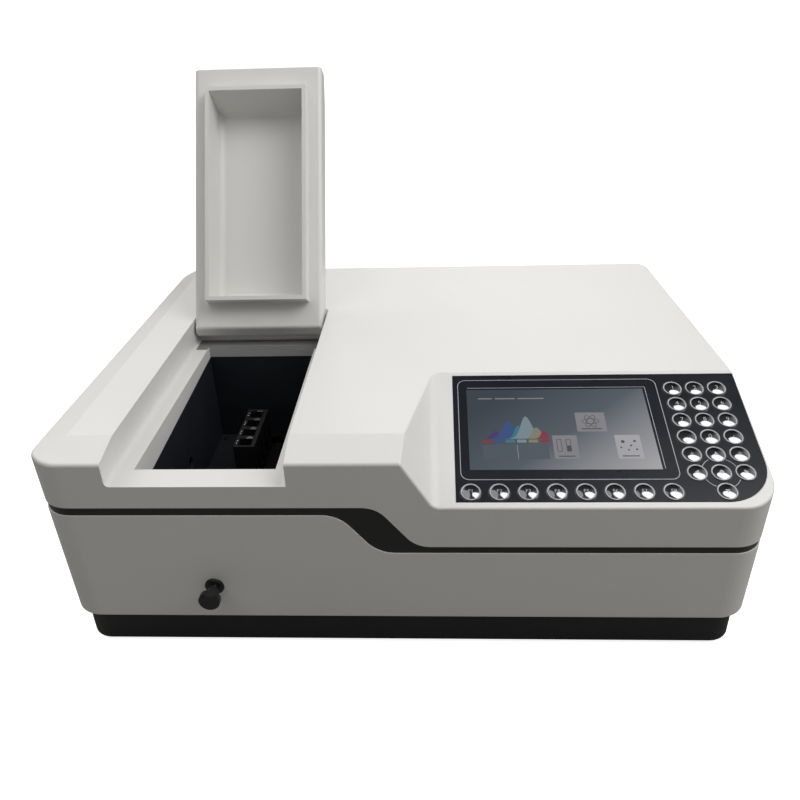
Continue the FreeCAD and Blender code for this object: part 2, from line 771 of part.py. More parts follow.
def make_bench():
    """The stiff plate that carries the optics, on four posts."""
    left, right, post = size("bench_left"), size("bench_right"), size("post_width")
    front, back = size("bench_front"), size("bench_back")
    low, floor = size("bench_low"), size("base_floor")
    pieces = [box((left, front, low), (right, back, size("bench_top")))]
    for x in (left, right - post):
        for y in (front, back - post):
            pieces.append(box((x, y, floor), (x + post, y + post, low)))
    node("optical_bench", fuse(*pieces))


def make_monochromator():
    """A closed chamber with a light hole towards the well, a slit towards the lamps, and its mirrors."""
    left, right = size("bench_left") + 2, size("chamber_right")
    front, back = size("chamber_front"), size("chamber_back")
    floor, top, wall = size("bench_top"), size("chamber_top"), size("sheet_wall")
    level, slit = size("beam_level"), size("slit_y")
    inside = box((left + wall, front + wall, floor + wall), (right - wall, back - wall, top + 5))
    beam = rod(5, 20, (left - 7, size("beam_y"), level), ACROSS)
    slot = box((right - 10, slit - 2, level - 10), (right + 5, slit + 2, level + 10))
    chamber = cut(box((left, front, floor), (right, back, top)), inside, beam, slot)
    node("monochromator_housing", fuse(chamber, box((left, front, top), (right, back, top + 2))))
    mirrors = []
    for x, y in ((-62, 172), (12, 172), (-62, -60)):
        holder = box((x - 10, y - 3, floor + wall), (x + 10, y + 3, level - 16))
        mirrors.append(fuse(holder, rod(20, 6, (x, y - 3, level), ALONG)))
    node("mirrors", group(mirrors))


def make_grating():
    """The grating on its turntable, over a short shaft."""
    x, y, low = -20, 60, size("bench_top") + size("sheet_wall")
    shaft = rod(4, 5, (x, y, low), UP)
    table = rod(22, 6, (x, y, low + 5))
    grating = box((x - 20, y - 2, low + 11), (x + 20, y + 4, low + 51))
    node("grating_turntable", fuse(table, shaft, grating))


def make_lamps():
    """Two lamps on their bases in a ventilated box with one window, and the detector beyond the well."""
    left, right, front = size("lamp_left"), size("lamp_right"), size("lamp_front")
    back, floor, wall = size("chamber_back"), size("bench_top"), 4
    lamp_box = cut(box((left, front, floor), (right, back, size("lamp_top"))),
                   box((left + wall, front + wall, floor + wall), (right - wall, back - wall, 140)),
                   rod(8, 10, (left - 5, size("slit_y"), size("beam_level")), ACROSS))
    node("lamp_housing", lamp_box)
    middle, base = (left + right) / 2, floor + wall
    lamps = []
    for y in (size("slit_y") - 40, size("slit_y")):
        lamps.append(fuse(rod(14, 16, (middle, y, base)), rod(9, 34, (middle, y, base + 16))))
    node("lamps", group(lamps))
    tub_side = size("well_left") - 2.5
    beam_y, level = size("beam_y"), size("beam_level")
    detector = cut(box((tub_side - 52, beam_y - 28, level - 26), (tub_side, beam_y + 28, level + 30)),
                   rod(7, 30, (tub_side - 20, beam_y, level), ACROSS))
    node("detector_housing", detector)


def make_electronics():
    """The main board on four posts, with its tall parts, and the power supply behind it."""
    left, right = size("board_left"), size("board_right")
    front, back = size("board_front"), size("board_back")
    floor, level, post = size("base_floor"), size("board_level"), 6
    face = level + 1.6
    board = [box((left, front, level), (right, back, face))]
    for x in (left + 4, right - 12):
        for y in (front + 6, back - 14):
            board.append(box((x, y, floor), (x + post, y + post, level)))
    parts = ((20, 28, 30, 30, 2.4), (70, 78, 36, 24, 8.4), (20, 138, 60, 20, 6.4), (30, 88, 12, 12, 12.4))
    for x, y, wide, deep, tall in parts:
        board.append(box((left + x, front + y, face), (left + x + wide, front + y + deep, face + tall)))
    node("main_board", fuse(*board))
    start, top = size("supply_front"), size("supply_top")
    case = box((left, start - 10, floor), (size("supply_right"), size("chamber_back"), top))
    vents = []
    for index in range(7):
        x = left + 6 + index * 14
        vents.append(box((x, start, top - 10), (x + 6, size("chamber_back") - 10, top + 10)))
    node("power_supply", cut(case, *vents))


def make_rear():
    """The rear plate in the housing's window, with the fan, the inlet module and the data ports."""
    middle, level, back = size("rear_middle"), size("rear_level"), size("back_face") - size("wall")
    fan_x, ports_x, inlet_x = middle - 60, middle - 4, middle + 50

    def rear_box(x, low, high):
        """A block from offsets across, outwards from the plate's outer face, and up."""
        start, end = [(x + x_off, back + out, level + up) for x_off, out, up in (low, high)]
        return box(start, end)

    half, rise = size("rear_half_width"), size("rear_half_height")
    plate = rear_box(middle, (0 - half, -3, 0 - rise), (half, 0, rise))
    grille = [rear_box(fan_x, (-16, -7, -15 + 7 * row), (16, 3, -12 + 7 * row)) for row in range(5)]
    windows = [rear_box(inlet_x, (-26, -7, -12), (26, 3, 12)), rear_box(ports_x, (-16, -7, -7), (16, 3, 7))]
    node("rear_panel", cut(plate, *grille, *windows))
    bore = rod(18.5, 9, (fan_x, back - 12, level), ALONG)
    notches = [rear_box(fan_x, (-21, -17, start), (21, -11, start + 12)) for start in (-16, 4)]
    node("fan_frame", cut(rear_box(fan_x, (-20, -14, -20), (20, -3, 20)), bore, *notches))
    blades = [rod(8, 6, (fan_x, back - 10, level), ALONG)]
    for index in range(7):
        blade = box((-0.6, 0, 6), (0.6, 5, 17.4))
        blades.append(place(blade, fan_x, back - 9.5, level, ALONG, 360 / 7 * index))
    node("fan_rotor", fuse(*blades))
    module = cut(rear_box(inlet_x, (-25.8, -21, -11.8), (25.8, 2, 11.8)),
                 rear_box(inlet_x, (1, -15, -9), (23, 8, 9)),
                 rear_box(inlet_x, (-22.6, -15, -8.6), (-12.4, 13, 8.6)))
    prongs = [rear_box(inlet_x, (x - 1, -15, z - 2.5), (x + 1, -1, z + 2.5))
              for x, z in ((5, -2), (12, 2), (19, -2))]
    node("power_inlet", fuse(module, *prongs))
    rocker = new_body("Rocker")
    profile = [(2.2, -7.5), (1.2, 0), (2.2, 7.5), (-3, 7.5), (-6, 2), (-6, -2), (-3, -7.5)]
    pad(rocker, outline(rocker, "YZ", profile), 9.4, "Symmetric")
    node("power_rocker", place(rocker, inlet_x - 17.5, back - 3, level, ACROSS, -8))
    square = cut(rear_box(ports_x, (-15.7, -19, -6.7), (-1, 1.5, 6.7)),
                 rear_box(ports_x, (-13, -9, -4), (-3.7, 13, 4)))
    wide = cut(rear_box(ports_x, (2, -19, -6), (15.7, 1.5, 6)),
               rear_box(ports_x, (4, -9, -4), (13.7, 13, 4)))
    node("data_ports", group([square, wide]))


def build():
    outer = case_form("CaseOutside", 0, softened=True)
    inner = case_form("CaseInside", size("wall"))
    cover_zone = parting_zone("CoverZone", size("cover_edge_left"), size("cover_edge_right"),
                              size("cover_bend_left"), size("cover_bend_right"), size("cover_bend_radius"))
    housing_zone = parting_zone("TrimZone", size("housing_edge_left"), size("housing_edge_right"),
                                size("housing_bend_left"), size("housing_bend_right"),
                                size("housing_bend_radius"))
    make_base_plinth()
    make_feet()
    make_lower_housing(outer, inner, housing_zone)
    make_trim_strip(cover_zone, housing_zone)
    make_upper_cover(outer, inner, cover_zone)
    make_tub()
    make_rails()
    make_cuvette_holder()
    make_cell_springs()
    make_pull()
    make_lid()
    make_hinge_pins()
    make_console()
    make_keys()
    make_bench()
    make_monochromator()
    make_grating()
    make_lamps()
    make_electronics()
    make_rear()


def check():
    """Stops before anything is written if an object failed or a sub-part has no sound shape."""
    for item in DOC.Objects:
        if {"Invalid", "Error"} & set(item.State):
            raise RuntimeError(f"{item.Name} ({item.Label}) failed: {item.State}")
    for item in NODES:
        if item.Shape.isNull() or not item.Shape.isValid() or not item.Shape.Solids:
            raise RuntimeError(f"{item.Label} has no valid solid")


def export():
    os.makedirs("parts", exist_ok=True)
    for item in NODES:
        item.Shape.exportStep(f"parts/{item.Label}.step")
        print(item.Label, len(item.Shape.Solids), round(item.Shape.Volume))


build()
DOC.recompute()
check()
export()
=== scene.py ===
import json
import math

import bmesh
import bpy
from mathutils import Matrix, Vector


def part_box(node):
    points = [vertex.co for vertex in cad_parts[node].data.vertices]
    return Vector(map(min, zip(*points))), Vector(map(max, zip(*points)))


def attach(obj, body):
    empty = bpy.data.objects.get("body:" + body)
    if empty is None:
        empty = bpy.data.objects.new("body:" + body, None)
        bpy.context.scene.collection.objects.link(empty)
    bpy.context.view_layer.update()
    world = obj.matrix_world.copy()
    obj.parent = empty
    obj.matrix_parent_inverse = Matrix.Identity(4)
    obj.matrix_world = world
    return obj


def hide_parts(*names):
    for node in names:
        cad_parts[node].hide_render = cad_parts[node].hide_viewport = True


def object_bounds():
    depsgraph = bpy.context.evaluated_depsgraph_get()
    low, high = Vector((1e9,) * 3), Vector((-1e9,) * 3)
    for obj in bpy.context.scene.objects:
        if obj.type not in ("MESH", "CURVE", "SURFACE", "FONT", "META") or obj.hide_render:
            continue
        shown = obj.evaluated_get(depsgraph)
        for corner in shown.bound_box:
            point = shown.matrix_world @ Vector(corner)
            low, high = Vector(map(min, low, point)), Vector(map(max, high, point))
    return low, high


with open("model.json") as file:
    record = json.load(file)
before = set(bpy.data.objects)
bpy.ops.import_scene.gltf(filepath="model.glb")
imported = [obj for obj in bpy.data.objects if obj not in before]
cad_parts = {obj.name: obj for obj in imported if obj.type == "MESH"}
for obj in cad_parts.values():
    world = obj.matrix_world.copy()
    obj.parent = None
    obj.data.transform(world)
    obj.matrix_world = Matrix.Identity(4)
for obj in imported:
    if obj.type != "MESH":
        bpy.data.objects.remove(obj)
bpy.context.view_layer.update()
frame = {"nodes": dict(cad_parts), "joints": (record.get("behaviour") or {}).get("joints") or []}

# The frame is in metres. The sizes named below are in millimetres, unless their comment says otherwise.
MM = 0.001
NODES = frame["nodes"]
JOINTS = {joint["name"]: joint for joint in frame["joints"]}
KEYS = [name for name in sorted(NODES) if name.startswith("key_")]

# The console's panel: ACROSS and RISE lie in it, OUT stands on it.
ACROSS = Vector((1, 0, 0))
OUT = -Vector(JOINTS["key_01_press"]["axis"]).normalized()
RISE = OUT.cross(ACROSS)


# Places on the sloping panel, in millimetres across, up and out

def panel_span(node, direction):
    """The lowest and highest reach of a node along a direction of the panel, in metres."""
    reach = [vertex.co.dot(direction) for vertex in NODES[node].data.vertices]
    return min(reach), max(reach)


FILM_FRONT = panel_span("keypad_overlay", RISE)[0]
FILM_FACE = panel_span("keypad_overlay", OUT)[1]


def panel_place(across, up, out=0.0):
    """The matrix of a spot: across from x = 0, up from the film's front edge, out from the film's face."""
    origin = ACROSS * (across * MM) + RISE * (FILM_FRONT + up * MM) + OUT * (FILM_FACE + out * MM)
    turn = Matrix((ACROSS, RISE, OUT)).transposed().to_4x4()
    return Matrix.Translation(origin) @ turn @ Matrix.Scale(MM, 4)


def node_spot(node):
    """The middle of a node on the panel, in millimetres across and up from the film's front edge."""
    low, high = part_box(node)
    bottom, top = panel_span(node, RISE)
    return (low.x + high.x) / 2 / MM, ((bottom + top) / 2 - FILM_FRONT) / MM


# Materials

NOISE_REACH = (0.3, 0.7)                # nearly all of a noise's values lie between these
TONE_REACH = (0.25, 0.75)               # the noise's values where a colour starts and stops changing
TONE_SCALE, GLOSS_SCALE = 9, 35         # patches per metre on moulded faces
SCRATCH_SCALES = (12, 700)              # along and across a brushed face's scratches


def new_material(name, colour, roughness, **inputs):
    """A material with its shader's own values set; returns it and the shader."""
    material = bpy.data.materials.new(name)
    material.use_nodes = True
    shader = material.node_tree.nodes["Principled BSDF"]
    shader.inputs["Base Color"].default_value = (*colour, 1)
    shader.inputs["Roughness"].default_value = roughness
    for socket, value in inputs.items():
        shader.inputs[socket.replace("_", " ")].default_value = value
    material.diffuse_color = (*colour, 1)
    return material, shader


def add_node(tree, kind, **values):
    """A node with its properties and inputs set by name."""
    node = tree.nodes.new(kind)
    for name, value in values.items():
        if hasattr(node, name):
            setattr(node, name, value)
        else:
            node.inputs[name.replace("_", " ")].default_value = value
    return node


def object_noise(tree, scale, stretch=None):
    """Noise in the object's own metres; stretch squeezes it along each axis."""
    place = add_node(tree, "ShaderNodeTexCoord")
    noise = add_node(tree, "ShaderNodeTexNoise", Scale=scale, Detail=4.0)
    source = place.outputs["Object"]
    if stretch:
        mapping = add_node(tree, "ShaderNodeMapping", Scale=stretch)
        tree.links.new(source, mapping.inputs["Vector"])
        source = mapping.outputs["Vector"]
    tree.links.new(source, noise.inputs["Vector"])
    return noise.outputs["Fac"]


def set_stops(ramp, stops):
    """Gives a colour ramp's elements, in order, their positions and colours."""
    for element, (position, colour) in zip(ramp.color_ramp.elements, stops):
        element.position = position
        element.color = (*colour, 1)


def add_tone(material, shader, scale, shade, stretch=None):
    """Lets the colour drift towards a shade in soft patches."""
    tree = material.node_tree
    ramp = add_node(tree, "ShaderNodeValToRGB")
    colour = tuple(shader.inputs["Base Color"].default_value)[:3]
    set_stops(ramp, zip(TONE_REACH, (shade, colour)))
    tree.links.new(object_noise(tree, scale, stretch), ramp.inputs["Fac"])
    tree.links.new(ramp.outputs["Color"], shader.inputs["Base Color"])


def add_gloss_drift(material, shader, scale, swing, stretch=None):
    """Lets the roughness wander by a swing either side of its value."""
    tree = material.node_tree
    middle = shader.inputs["Roughness"].default_value
    spread = add_node(tree, "ShaderNodeMapRange", From_Min=NOISE_REACH[0], From_Max=NOISE_REACH[1],
                      To_Min=middle - swing, To_Max=middle + swing)
    tree.links.new(object_noise(tree, scale, stretch), spread.inputs["Value"])
    tree.links.new(spread.outputs["Result"], shader.inputs["Roughness"])


def add_grain(material, shader, scales, depth, strength=1.0, stretch=None):
    """A relief of one or two sizes of grain, with its depth in millimetres."""
    tree = material.node_tree
    normal = None
    for scale in scales:
        bump = add_node(tree, "ShaderNodeBump", Strength=strength, Distance=depth * MM)
        tree.links.new(object_noise(tree, scale, stretch), bump.inputs["Height"])
        if normal:
            tree.links.new(normal, bump.inputs["Normal"])
        normal = bump.outputs["Normal"]
    tree.links.new(normal, shader.inputs["Normal"])


def moulded(name, colour, shade, roughness, swing=0.05, grain=(900, 2600), depth=0.03, **inputs):
    """Moulded or painted plastic: a slight drift of tone and gloss under a fine grain."""
    material, shader = new_material(name, colour, roughness, **inputs)
    add_tone(material, shader, TONE_SCALE, shade)
    add_gloss_drift(material, shader, GLOSS_SCALE, swing)
    add_grain(material, shader, grain, depth)
    return material


def on_display(name, colour, shade, **inputs):
    """A smooth flat colour for a part of the display's picture."""
    return moulded(name, colour, shade, 0.25, swing=0.02, grain=(1800,), depth=0.004, **inputs)


def brushed(name, colour, shade, roughness, along, **inputs):
    """Metal with fine scratches that run along one axis."""
    material, shader = new_material(name, colour, roughness, Metallic=1.0, **inputs)
    stretch = tuple(SCRATCH_SCALES[0 if axis == along else 1] for axis in "XYZ")
    add_tone(material, shader, 1.0, shade, stretch)
    add_gloss_drift(material, shader, 1.0, 0.08, stretch)
    add_grain(material, shader, (1.0,), 0.004, 0.6, stretch)
    return material


def circuit_board():
    """Green lacquer over faint copper tracks."""
    lacquer = (0.012, 0.09, 0.035)
    material, shader = new_material("circuit_board", lacquer, 0.32, Coat_Weight=0.4)
    tree = material.node_tree
    place = add_node(tree, "ShaderNodeTexCoord")
    tracks = add_node(tree, "ShaderNodeTexBrick", Scale=60.0, Mortar_Size=0.04)
    for socket, colour in (("Color1", lacquer), ("Color2", (0.010, 0.075, 0.03)),
                           ("Mortar", (0.03, 0.17, 0.06))):
        tracks.inputs[socket].default_value = (*colour, 1)
    tree.links.new(place.outputs["Object"], tracks.inputs["Vector"])
    tree.links.new(tracks.outputs["Color"], shader.inputs["Base Color"])
    add_gloss_drift(material, shader, 80, 0.06)
    add_grain(material, shader, (1500,), 0.02)
    return material


GLASS_COAT = {"Coat_Weight": 0.5, "Coat_Roughness": 0.12}
DISPLAY_EMISSION = 0.25
# The display's painted glare: its tone runs from its top left corner by these shares across and down,
# through these stops, paler towards the lower right.
PAINTED_GLARE_SLANT = (0.56, 0.40)
PAINTED_GLARE_STOPS = ((0.15, (0.036, 0.046, 0.060)), (0.53, (0.072, 0.089, 0.108)), (0.99, (0.34, 0.335, 0.35)))


def display_with_painted_glare():
    """The lit display under its glass: slate at the top left, with a painted glare that makes it paler
    towards the lower right corner; its glow carries the painted glare too.
    """
    material, shader = new_material("display", (0.030, 0.036, 0.046), 0.22, **GLASS_COAT)
    shader.inputs["Emission Strength"].default_value = DISPLAY_EMISSION
    tree = material.node_tree
    low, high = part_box("lcd_glass")
    size = high - low
    place = add_node(tree, "ShaderNodeTexCoord")
    shift = add_node(tree, "ShaderNodeVectorMath", operation="SUBTRACT")
    shift.inputs[1].default_value = (low.x, high.y, 0)
    slant = add_node(tree, "ShaderNodeVectorMath", operation="DOT_PRODUCT")
    slant.inputs[1].default_value = (PAINTED_GLARE_SLANT[0] / size.x, -PAINTED_GLARE_SLANT[1] / size.y, 0)
    # painted glare: this ramp pales the display's colour and glow towards its lower right corner
    ramp = add_node(tree, "ShaderNodeValToRGB")
    ramp.color_ramp.elements.new(PAINTED_GLARE_STOPS[1][0])
    set_stops(ramp, PAINTED_GLARE_STOPS)
    tree.links.new(place.outputs["Object"], shift.inputs[0])
    tree.links.new(shift.outputs["Vector"], slant.inputs[0])
    tree.links.new(slant.outputs["Value"], ramp.inputs["Fac"])
    tree.links.new(ramp.outputs["Color"], shader.inputs["Base Color"])
    tree.links.new(ramp.outputs["Color"], shader.inputs["Emission Color"])
    add_grain(material, shader, (3500,), 0.004)
    return material


def lamp_glass():
    """Clear fused silica, very slightly uneven."""
    material, shader = new_material("lamp_glass", (0.85, 0.9, 0.95), 0.05, Transmission_Weight=0.7,
                                    IOR=1.46)
    add_gloss_drift(material, shader, 60, 0.03)
    add_grain(material, shader, (300,), 0.01)
    return material


WHITE = moulded("white_paint", (0.81, 0.803, 0.785), (0.786, 0.778, 0.758), 0.40, 0.04, Coat_Weight=0.12,
                Coat_Roughness=0.3)
BLACK_TRIM = moulded("black_trim", (0.011, 0.012, 0.014), (0.008, 0.009, 0.010), 0.38)
BLACK_TRAY = moulded("black_tray", (0.010, 0.011, 0.013), (0.007, 0.008, 0.010), 0.48, depth=0.05)
BLACK_WELL = moulded("black_well", (0.0068, 0.0090, 0.0150), (0.0052, 0.0070, 0.0120), 0.62, depth=0.05)
RUBBER = moulded("rubber", (0.018, 0.018, 0.018), (0.012, 0.012, 0.012), 0.78, depth=0.08)
FILM = moulded("console_film", (0.0095, 0.0113, 0.0180), (0.0080, 0.0097, 0.0157), 0.30, 0.03, (1800, 4200),
               0.010, Specular_IOR_Level=0.28)
DOME = moulded("key_dome", (0.235, 0.24, 0.255), (0.205, 0.21, 0.225), 0.10, 0.02, (250,), 0.004,
               Metallic=1.0)
KEY_RING = moulded("key_ring", (0.55, 0.55, 0.57), (0.49, 0.49, 0.51), 0.24, 0.04, (1200,), 0.006,
                   Coat_Weight=0.4)
# painted sheen: a paler copy of the film's colour for the raised round about each key
BEZEL_PAINTED_SHEEN = moulded("key_bezel_painted_sheen", (0.040, 0.043, 0.052), (0.030, 0.032, 0.040), 0.24, 0.04, (1600,), 0.008)
# printed legends and lines; the same pale colour also serves the painted highlight on the display window's
# edge
PRINT_AND_HIGHLIGHT = moulded("pale_print_and_highlight", (0.46, 0.48, 0.52), (0.40, 0.42, 0.46), 0.42, grain=(1800,), depth=0.006)
TILE = on_display("display_tile", (0.26, 0.255, 0.275), (0.22, 0.217, 0.237), **GLASS_COAT)
# painted glare: a paler copy of the tile colour for the lower right tile, where the display's glare is
# painted
TILE_PAINTED_GLARE = on_display("display_tile_painted_glare", (0.40, 0.395, 0.42), (0.36, 0.355, 0.38), **GLASS_COAT)
TILE_MARK = on_display("display_mark", (0.085, 0.085, 0.10), (0.07, 0.07, 0.085))
TILE_DARK = on_display("display_dark_tile", (0.088, 0.110, 0.138), (0.078, 0.098, 0.122), **GLASS_COAT)
STEEL = brushed("steel", (0.56, 0.56, 0.57), (0.42, 0.42, 0.43), 0.26, "Y")
BRIGHT_STEEL = brushed("bright_steel", (0.72, 0.72, 0.72), (0.58, 0.58, 0.58), 0.20, "X")
ALUMINIUM = brushed("aluminium", (0.60, 0.61, 0.62), (0.50, 0.51, 0.52), 0.34, "X")
GREY_METAL = moulded("grey_metal", (0.33, 0.33, 0.34), (0.28, 0.28, 0.29), 0.42, Metallic=0.8)
DARK_STEEL = brushed("dark_steel", (0.045, 0.046, 0.050), (0.032, 0.033, 0.036), 0.34, "Y")
ANODISED = moulded("black_anodised", (0.0050, 0.0042, 0.0050), (0.0036, 0.0031, 0.0037), 0.62,
                   Specular_IOR_Level=0.30)
BLACK_METAL = moulded("black_metal", (0.014, 0.012, 0.012), (0.009, 0.008, 0.008), 0.36, 0.06, Metallic=0.5)
# painted shade: grey for the shadowed ledge under the lid's foot, and a paler grey for the shaded top of the
# well's back wall
PAINTED_SHADE = moulded("painted_shade_sheet", (0.205, 0.206, 0.202), (0.180, 0.181, 0.178), 0.62, depth=0.05)
PAINTED_SHADE_LIP = moulded("painted_shade_lip", (0.44, 0.44, 0.432), (0.40, 0.40, 0.392), 0.60, depth=0.05)
REAR_PLATE = moulded("rear_plate", (0.30, 0.30, 0.295), (0.26, 0.26, 0.255), 0.45, depth=0.04)
MIRROR = moulded("mirror_coating", (0.90, 0.91, 0.93), (0.86, 0.87, 0.90), 0.04, 0.01, (400,), 0.002,
                 Metallic=1.0)
BOARD = circuit_board()
DISPLAY = display_with_painted_glare()
LAMP = lamp_glass()

NODE_MATERIALS = {
    "upper_cover": WHITE, "lower_housing": WHITE, "lid": WHITE, "trim_strip": BLACK_TRIM,
    "base_plinth": BLACK_TRAY, "rubber_feet": RUBBER, "compartment_tub": BLACK_WELL,
    "carriage_rails": DARK_STEEL, "cuvette_holder": ANODISED, "hinge_pins": STEEL,
    "pull_rod": STEEL, "pull_knob": BLACK_TRIM, "rod_bush": BLACK_TRIM,
    "keypad_overlay": FILM, "lcd_glass": DISPLAY, "lcd_module": GREY_METAL, "control_board": BOARD,
    "optical_bench": ALUMINIUM, "monochromator_housing": BLACK_METAL, "grating_turntable": ALUMINIUM,
    "mirrors": MIRROR, "lamp_housing": ALUMINIUM, "lamps": LAMP, "detector_housing": BLACK_METAL,
    "main_board": BOARD, "power_supply": GREY_METAL, "rear_panel": REAR_PLATE, "fan_frame": BLACK_TRIM,
    "fan_rotor": BLACK_TRIM, "power_inlet": BLACK_TRIM, "power_rocker": BLACK_TRIM,
    "data_ports": GREY_METAL,
}


def dress_nodes():
    """Gives every CAD piece that stays visible its material."""
    for name, material in NODE_MATERIALS.items():
        mesh = NODES[name].data
        mesh.materials.clear()
        mesh.materials.append(material)


# Meshes

CREASE = 30                             # degrees between two faces, past which their edge is sharp


def lathe(mesh, profile, place, segments=48, bands=None):
    """Turns (radius, height) points about the place's own Z; bands gives each stretch its material index."""
    angles = [2 * math.pi * step / segments for step in range(segments)]
    rings = []
    for radius, height in profile:
        if radius == 0:
            rings.append([mesh.verts.new(place @ Vector((0, 0, height)))])
            continue
        rings.append([mesh.verts.new(place @ Vector((radius * math.cos(a), radius * math.sin(a), height)))
                      for a in angles])
    for index, (lower, upper) in enumerate(zip(rings, rings[1:])):
        for step in range(segments):
            after = (step + 1) % segments
            if len(lower) == 1:
                corners = (lower[0], upper[after], upper[step])
            elif len(upper) == 1:
                corners = (lower[step], lower[after], upper[0])
            else:
                corners = (lower[step], lower[after], upper[after], upper[step])
            face = mesh.faces.new(corners)
            face.smooth = True
            face.material_index = bands[index] if bands else 0


def slab(mesh, outer, place, low, high, inner=None, material=0):
    """A flat plate between two heights; with an inner loop of as many points it is a frame."""
    faces = []

    def loop(points, height):
        return [mesh.verts.new(place @ Vector((x, y, height))) for x, y in points]

    def skirt(first, second):
        for index, corner in enumerate(first):
            after = (index + 1) % len(first)
            faces.append(mesh.faces.new((corner, first[after], second[after], second[index])))

    bottom, top = loop(outer, low), loop(outer, high)
    skirt(bottom, top)
    if inner:
        inner_bottom, inner_top = loop(inner, low), loop(inner, high)
        skirt(inner_top, inner_bottom)
        skirt(top, inner_top)
        skirt(inner_bottom, bottom)
    else:
        faces.append(mesh.faces.new(top))
        faces.append(mesh.faces.new(bottom[::-1]))
    for face in faces:
        face.material_index = material


def block(mesh, low, high, material=0):
    """An upright box between two corners, in metres."""
    loop = [(low[0], low[1]), (high[0], low[1]), (high[0], high[1]), (low[0], high[1])]
    slab(mesh, loop, Matrix(), low[2], high[2], material=material)


def arc_points(radius, start, end, steps):
    """Points along an arc about the origin, from one angle in degrees to another."""
    angles = [math.radians(start + (end - start) * step / steps) for step in range(steps + 1)]
    return [(radius * math.cos(a), radius * math.sin(a)) for a in angles]


def round_loop(radius, points=24):
    """The points of a closed circle about the origin."""
    return arc_points(radius, 0, 360 - 360 / points, points - 1)


def rounded_loop(left, right, bottom, top, radius, steps=8):
    """The points of a rectangle with round corners, counter-clockwise."""
    points = []
    corners = ((right - radius, bottom + radius, -90), (right - radius, top - radius, 0),
               (left + radius, top - radius, 90), (left + radius, bottom + radius, 180))
    for x, y, start in corners:
        points += [(x + dx, y + dy) for dx, dy in arc_points(radius, start, start + 90, steps)]
    return points


def piece(name, mesh, body, materials):
    """Makes the object, with smooth shading up to the crease angle, and rides it on its body."""
    bmesh.ops.recalc_face_normals(mesh, faces=mesh.faces[:])
    data = bpy.data.meshes.new(name)
    mesh.to_mesh(data)
    mesh.free()
    for material in materials:
        data.materials.append(material)
    made = bpy.data.objects.new(name, data)
    bpy.context.scene.collection.objects.link(made)
    data.shade_smooth()
    data.set_sharp_from_angle(angle=math.radians(CREASE))
    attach(made, body)
    return made


# Keys

KEY_DOME_RADIUS = 6.6
KEY_DOME_LOW = 0.75
KEY_DOME_RISE = 1.0
DOME_SHARES = (1, 0.94, 0.86, 0.76, 0.64, 0.5, 0.34, 0.17)
KEY_STEM = [(0, -0.9), (6.9, -0.9), (7.1, -0.7), (7.1, 0.68)]
KEY_RING_OUTER = 7.7
# The ring's outline over the film: how far in from its outer edge, and how high.
RING_OUTLINE = ((0.5, 0.68), (0, 0.74), (0, 0.92), (0.2, 1.10), (0.5, 1.16), (0.8, 1.06), (0.95, 0.8))
GROOVE_WIDTH, GROOVE_DEPTH = 0.05, 0.1  # between the ring and the dome's edge
# The bezel's outline over the film: its radius, and how high.
BEZEL_OUTLINE = ((7.75, 0.0), (7.75, 0.22), (8.1, 0.26), (8.3, 0.16), (8.6, 0.0))
LEGENDS = ("F1", "F2", "F3", "F4", "F5", "F6", "F7", "F8",
           "1", "2", "3", "4", "5", "6", "7", "8", "9", ".", "0", "-",
           "+", "up", "=", "left", "dot", "right", "down")
ARROW_TURNS = {"up": 0, "left": 90, "down": 180, "right": 270}
ARROW_OUTLINE = ((0, 2.0), (-1.9, -1.2), (1.9, -1.2))
DOT_RADIUS = 1.7
FUNCTION_TEXT, SIGN_TEXT = 4.6, 5.6     # the height of the lettering on F1 to F8, and on the other keys
LEGEND_EDGE = 0.9                       # longer edges of a legend are cut, so that it follows the dome
LEGEND_LIFT = 0.04
# A key's materials
DOME_FACE, RING_FACE, PRINT_FACE = range(3)


def dome_height(radius):
    """How far out the dome's face stands at a distance from the key's middle."""
    return KEY_DOME_LOW + KEY_DOME_RISE * (1 - (radius / KEY_DOME_RADIUS) ** 2)


def text_mesh(words, height):
    """Flat lettering of numbers and signs as a bmesh, centred on the origin."""
    curve = bpy.data.curves.new("legend", "FONT")
    curve.body = words
    curve.size = height
    curve.resolution_u = 6
    curve.align_x = "CENTER"
    curve.align_y = "CENTER"
    holder = bpy.data.objects.new("legend", curve)
    data = bpy.data.meshes.new_from_object(holder)
    bpy.data.objects.remove(holder)
    mesh = bmesh.new()
    mesh.from_mesh(data)
    bpy.data.meshes.remove(data)
    return mesh


def outline_mesh(points, turn=0):
    """One flat face about the origin, turned by an angle in degrees."""
    mesh = bmesh.new()
    spin = Matrix.Rotation(math.radians(turn), 4, "Z")
    mesh.faces.new([mesh.verts.new(spin @ Vector((x, y, 0))) for x, y in points])
    return mesh


def legend_mesh(words):
    """The printed sign of a key, cut into short pieces that can follow the dome."""
    if words in ARROW_TURNS:
        mesh = outline_mesh(ARROW_OUTLINE, ARROW_TURNS[words])
    elif words == "dot":
        mesh = outline_mesh(round_loop(DOT_RADIUS))
    else:
        mesh = text_mesh(words, FUNCTION_TEXT if words.startswith("F") else SIGN_TEXT)
    bmesh.ops.triangulate(mesh, faces=mesh.faces[:])
    long_edges = [edge for edge in mesh.edges if edge.calc_length() > LEGEND_EDGE]
    bmesh.ops.subdivide_edges(mesh, edges=long_edges, cuts=2)
    bmesh.ops.triangulate(mesh, faces=mesh.faces[:])
    return mesh


def add_legend(mesh, words, place):
    """Lays a legend on the dome, a hair above it."""
    legend = legend_mesh(words)
    copies = {}
    for vertex in legend.verts:
        x, y = vertex.co.xy
        height = dome_height(vertex.co.xy.length) + LEGEND_LIFT
        copies[vertex] = mesh.verts.new(place @ Vector((x, y, height)))
    for face in legend.faces:
        mesh.faces.new([copies[vertex] for vertex in face.verts]).material_index = PRINT_FACE
    legend.free()


